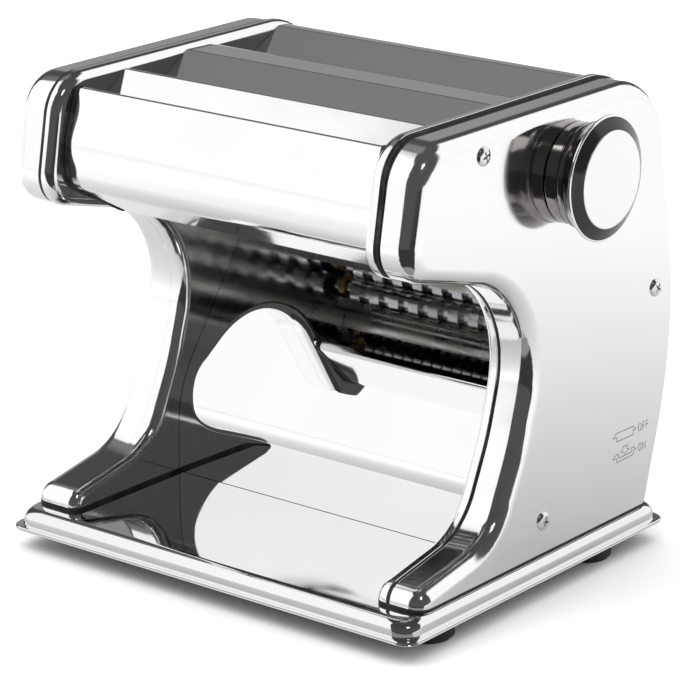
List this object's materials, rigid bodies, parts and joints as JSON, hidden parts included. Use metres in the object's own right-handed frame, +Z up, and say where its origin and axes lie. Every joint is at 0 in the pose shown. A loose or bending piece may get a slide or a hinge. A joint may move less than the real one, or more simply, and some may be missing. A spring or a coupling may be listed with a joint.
{
  "type": "electric pasta maker",
  "caption": "Electric pasta maker: pressed steel side housings on a pan, hopper slots over sheet rollers and noodle cutters, open catch space, side thickness knob, rear power button.",
  "frame": {"origin": "middle of the overall footprint, on the floor under the rubber feet", "axes": "+Z up; +X along the rollers towards the thickness knob; +Y towards the rear cover, the open mouth faces -Y"},
  "size_m": [0.2678, 0.2222, 0.2413],
  "materials": {
    "polished_steel": "mirror-polished pressed stainless steel",
    "pan_steel": "polished pressed steel with soft grey banding",
    "roller_steel": "fine turned steel",
    "cutter_steel": "ground steel",
    "gear_steel": "cut steel with a film of grease",
    "gear_nylon": "natural nylon",
    "bush_bronze": "sintered bronze",
    "zinc_steel": "zinc-plated steel",
    "screw_steel": "bright screws",
    "rubber": "black rubber",
    "seam_black": "black seal",
    "black_plastic": "fine-grained black plastic",
    "knob_smoke": "smoke-dark chrome",
    "knob_black": "gloss black with a bright edge",
    "knob_satin": "satin spun disc",
    "motor_paint": "black enamel",
    "gearbox_grey": "grey moulded housing"
  },
  "bodies": {
    "housing": {"base_pan": "pan_steel", "bottom_plate": "zinc_steel", "rubber_feet": "rubber", "foot_screws": "zinc_steel", "left_inner_shell": "polished_steel", "right_inner_shell": "polished_steel", "left_outer_cover": "polished_steel", "right_outer_cover": "polished_steel", "left_seam_gasket": "seam_black", "right_seam_gasket": "seam_black", "cover_posts": "zinc_steel", "cover_screws": "screw_steel", "front_panel": "polished_steel", "front_guide": "polished_steel", "front_divider": "polished_steel", "middle_divider": "polished_steel", "rear_cover": "polished_steel", "guide_plate": "polished_steel", "tie_rods": "zinc_steel", "tie_rod_nuts": "zinc_steel", "shaft_bushes": "bush_bronze", "idler_studs": "zinc_steel", "retaining_clips": "zinc_steel", "carriage_rails": "zinc_steel", "wide_cutter_combs": "zinc_steel", "narrow_cutter_combs": "zinc_steel", "motor": "motor_paint", "motor_gearbox": "gearbox_grey", "motor_cradle": "zinc_steel", "power_switch": "black_plastic", "power_button_bezel": "black_plastic", "cord_inlet": "black_plastic", "knob_bush": "bush_bronze"},
    "rear_roller": {"fixed_roller": "roller_steel", "fixed_roller_gear": "gear_steel", "input_gear": "gear_nylon"},
    "front_roller": {"adjustable_roller": "roller_steel", "adjustable_roller_gear": "gear_steel"},
    "carriage": {"left_carriage_block": "bush_bronze", "right_carriage_block": "bush_bronze", "carriage_link_rod": "zinc_steel"},
    "wide_rear": {"wide_cutter_rear": "cutter_steel", "wide_cutter_rear_gear": "gear_steel", "wide_cutter_drive_gear": "gear_nylon"},
    "wide_front": {"wide_cutter_front": "cutter_steel", "wide_cutter_front_gear": "gear_steel"},
    "narrow_rear": {"narrow_cutter_rear": "cutter_steel", "narrow_cutter_rear_gear": "gear_steel", "narrow_cutter_drive_gear": "gear_nylon"},
    "narrow_front": {"narrow_cutter_front": "cutter_steel", "narrow_cutter_front_gear": "gear_steel"},
    "rear_idler": {"rear_idler_gear": "gear_nylon"},
    "front_idler": {"front_idler_gear": "gear_nylon"},
    "transfer": {"transfer_gear": "gear_nylon"},
    "pinion": {"motor_pinion": "gear_steel"},
    "knob": {"knob_skirt": "knob_smoke", "knob_rim": "knob_black", "knob_cap": "knob_satin", "knob_shaft": "zinc_steel"},
    "button": {"power_button": "black_plastic"}
  },
  "joints": [
    {"name": "rear_roller_spin", "type": "hinge", "parent": "housing", "child": "rear_roller", "pos_m": [-0.00895, 0.04441, 0.2061], "axis": [1, 0, 0], "continuous": true},
    {"name": "knob_turn", "type": "hinge", "parent": "housing", "child": "knob", "pos_m": [0.11185, 0.01806, 0.2061], "axis": [1, 0, 0], "range_deg": [0, 180]},
    {"name": "carriage_slide", "type": "slide", "parent": "housing", "child": "carriage", "axis": [0, -1, 0], "range_m": [0, 0.002]},
    {"name": "front_roller_spin", "type": "hinge", "parent": "carriage", "child": "front_roller", "pos_m": [-0.00895, 0.01806, 0.2061], "axis": [1, 0, 0], "continuous": true},
    {"name": "wide_rear_spin", "type": "hinge", "parent": "housing", "child": "wide_rear", "pos_m": [-0.00895, -0.02349, 0.203], "axis": [1, 0, 0], "continuous": true},
    {"name": "wide_front_spin", "type": "hinge", "parent": "housing", "child": "wide_front", "pos_m": [-0.00895, -0.04099, 0.203], "axis": [1, 0, 0], "continuous": true},
    {"name": "narrow_rear_spin", "type": "hinge", "parent": "housing", "child": "narrow_rear", "pos_m": [-0.00895, -0.06449, 0.203], "axis": [1, 0, 0], "continuous": true},
    {"name": "narrow_front_spin", "type": "hinge", "parent": "housing", "child": "narrow_front", "pos_m": [-0.00895, -0.08199, 0.203], "axis": [1, 0, 0], "continuous": true},
    {"name": "rear_idler_spin", "type": "hinge", "parent": "housing", "child": "rear_idler", "pos_m": [-0.00895, 0.00842, 0.18851], "axis": [1, 0, 0], "continuous": true},
    {"name": "front_idler_spin", "type": "hinge", "parent": "housing", "child": "front_idler", "pos_m": [-0.00895, -0.04399, 0.18693], "axis": [1, 0, 0], "continuous": true},
    {"name": "transfer_spin", "type": "hinge", "parent": "housing", "child": "transfer", "pos_m": [-0.00895, 0.05526, 0.15519], "axis": [1, 0, 0], "continuous": true},
    {"name": "pinion_spin", "type": "hinge", "parent": "housing", "child": "pinion", "pos_m": [-0.00895, 0.04726, 0.10984], "axis": [1, 0, 0], "continuous": true},
    {"name": "button_press", "type": "slide", "parent": "housing", "child": "button", "axis": [0, -0.9609, 0.277], "range_m": [0, 0.003], "stiffness_N_per_m": 300}
  ],
  "couplings": [
    {"joint": "carriage_slide", "follows": "knob_turn", "m_per_rad": 0.000636},
    {"joint": "front_roller_spin", "follows": "rear_roller_spin", "ratio": -1},
    {"joint": "wide_rear_spin", "follows": "rear_roller_spin", "ratio": 1.3333},
    {"joint": "wide_front_spin", "follows": "rear_roller_spin", "ratio": -1.3333},
    {"joint": "narrow_rear_spin", "follows": "rear_roller_spin", "ratio": 1.3333},
    {"joint": "narrow_front_spin", "follows": "rear_roller_spin", "ratio": -1.3333},
    {"joint": "rear_idler_spin", "follows": "rear_roller_spin", "ratio": -1},
    {"joint": "front_idler_spin", "follows": "rear_roller_spin", "ratio": -1.8182},
    {"joint": "transfer_spin", "follows": "rear_roller_spin", "ratio": -0.625},
    {"joint": "pinion_spin", "follows": "rear_roller_spin", "ratio": 1.4286}
  ]
}
